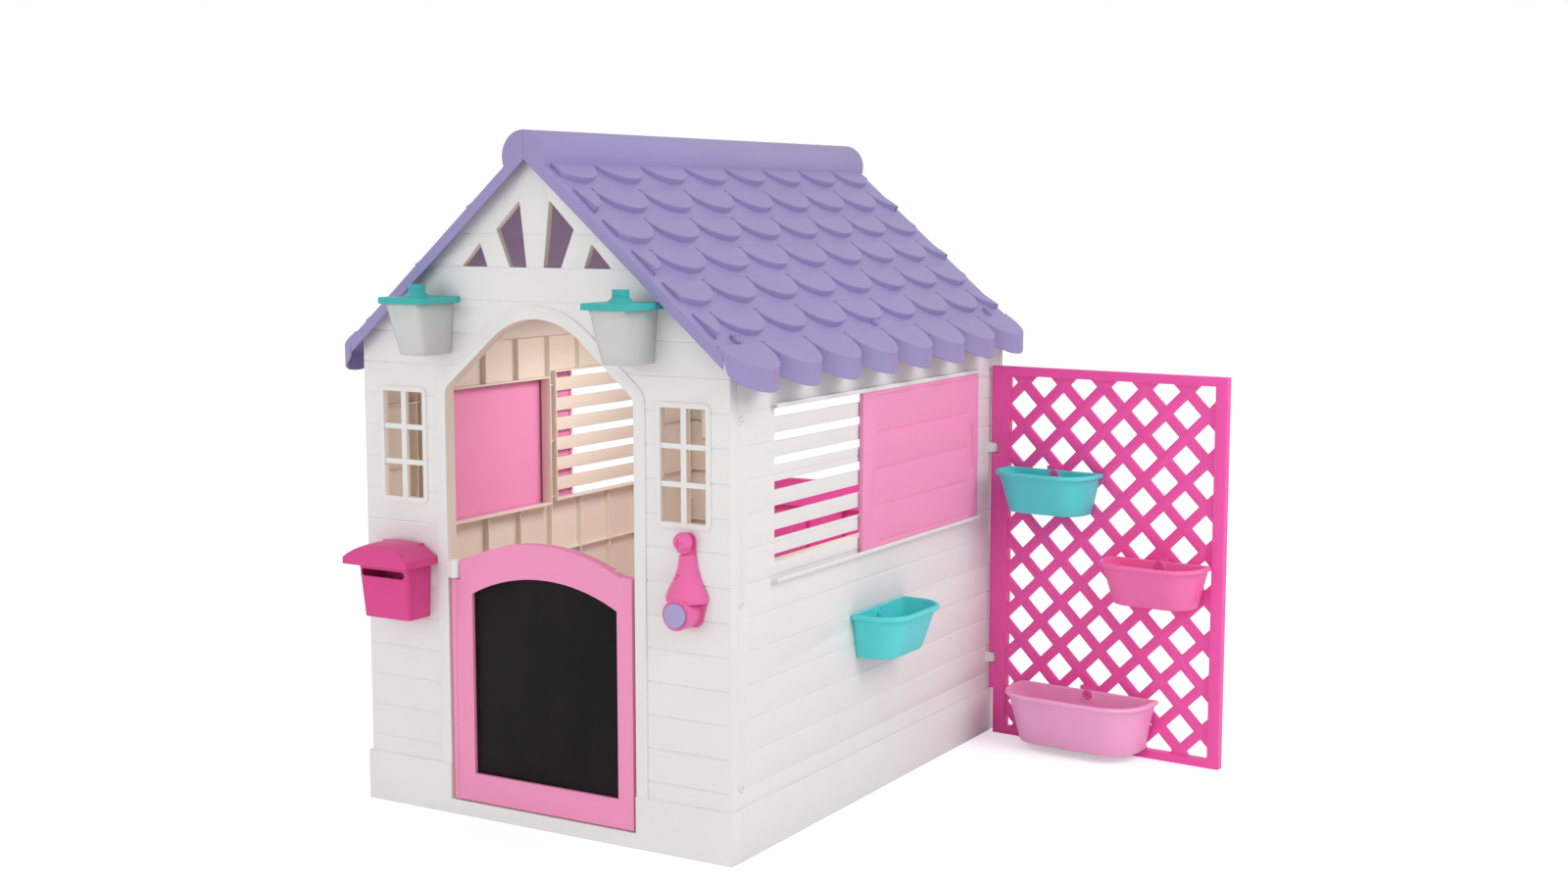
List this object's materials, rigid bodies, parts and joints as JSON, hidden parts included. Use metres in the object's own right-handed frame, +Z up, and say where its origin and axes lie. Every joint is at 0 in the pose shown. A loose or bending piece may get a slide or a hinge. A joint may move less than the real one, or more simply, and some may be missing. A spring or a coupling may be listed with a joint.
{
  "type": "plastic playhouse",
  "caption": "Child's plastic garden playhouse with tiled gable roof, half doors, sliding shutters, letter box, door bell, planters and a hinged trellis.",
  "frame": {"origin": "on the floor, under the middle of the front wall's outer face", "axes": "+Z up, +X to the right of someone who faces the front, +Y from the front wall to the back wall"},
  "size_m": [1.5159, 1.3493, 1.359],
  "materials": {
    "white_plastic": "satin moulded",
    "lavender_plastic": "satin moulded",
    "hot_pink_plastic": "satin moulded",
    "light_pink_plastic": "satin moulded",
    "teal_plastic": "satin moulded",
    "chalkboard": "matt board",
    "knobs": "satin moulded",
    "frosted_plastic": "frosted, lets light through",
    "steel": "plated",
    "bell_pink": "satin moulded",
    "button_lavender": "smooth",
    "circuit_board": "lacquered",
    "speaker_black": "matt"
  },
  "bodies": {
    "house": {"front_wall": "white_plastic", "back_wall": "white_plastic", "left_wall": "white_plastic", "right_wall": "white_plastic", "right_roof": "lavender_plastic", "left_roof": "lavender_plastic", "wall_screws": "white_plastic", "roof_screws": "lavender_plastic", "front_door_pins": "white_plastic", "back_gate_pins": "white_plastic", "trellis_pins": "hot_pink_plastic", "wall_pot": "teal_plastic", "wall_pot_knob": "teal_plastic", "lantern_cups": "frosted_plastic", "lantern_caps": "teal_plastic", "lantern_screws": "steel", "letter_box": "hot_pink_plastic", "letter_box_pin": "hot_pink_plastic", "letter_box_screws": "steel", "bell_shell": "bell_pink", "bell_back": "bell_pink", "bell_circuit_board": "circuit_board", "bell_speaker": "speaker_black", "bell_batteries": "steel", "pet_flap_pin": "white_plastic"},
    "front_door": {"front_door": "light_pink_plastic", "chalkboard": "chalkboard"},
    "back_gate": {"back_gate": "hot_pink_plastic"},
    "left_shutter": {"left_shutter": "light_pink_plastic"},
    "right_shutter": {"right_shutter": "light_pink_plastic"},
    "trellis": {"trellis_panel": "hot_pink_plastic", "trellis_knobs": "knobs", "trellis_pot_upper": "teal_plastic", "trellis_pot_middle": "hot_pink_plastic", "trellis_trough": "light_pink_plastic"},
    "letter_box_lid": {"letter_box_lid": "hot_pink_plastic"},
    "bell_button": {"bell_button": "button_lavender"},
    "pet_flap": {"pet_flap": "light_pink_plastic"}
  },
  "joints": [
    {"name": "front_door_hinge", "type": "hinge", "parent": "house", "child": "front_door", "pos_m": [-0.212, 0.005, 0.033], "axis": [0, 0, -1], "range_deg": [0, 95]},
    {"name": "back_gate_hinge", "type": "hinge", "parent": "house", "child": "back_gate", "pos_m": [-0.207, 1.19, 0.033], "axis": [0, 0, 1], "range_deg": [0, 95]},
    {"name": "left_shutter_slide", "type": "slide", "parent": "house", "child": "left_shutter", "axis": [0, 1, 0], "range_m": [0, 0.335]},
    {"name": "right_shutter_slide", "type": "slide", "parent": "house", "child": "right_shutter", "axis": [0, -1, 0], "range_m": [0, 0.335]},
    {"name": "trellis_hinge", "type": "hinge", "parent": "house", "child": "trellis", "pos_m": [0.45, 1.13, 0], "axis": [0, 0, 1], "range_deg": [-8, 75]},
    {"name": "letter_box_lid_hinge", "type": "hinge", "parent": "house", "child": "letter_box_lid", "pos_m": [-0.336, -0.0103, 0.5415], "axis": [-1, 0, 0], "range_deg": [0, 70]},
    {"name": "bell_button_press", "type": "slide", "parent": "house", "child": "bell_button", "axis": [0, 1, 0], "range_m": [0, 0.004], "stiffness_N_per_m": 200},
    {"name": "pet_flap_hinge", "type": "hinge", "parent": "house", "child": "pet_flap", "pos_m": [-0.4225, 0.905, 0.219], "axis": [0, 1, 0], "range_deg": [-60, 60]}
  ]
}
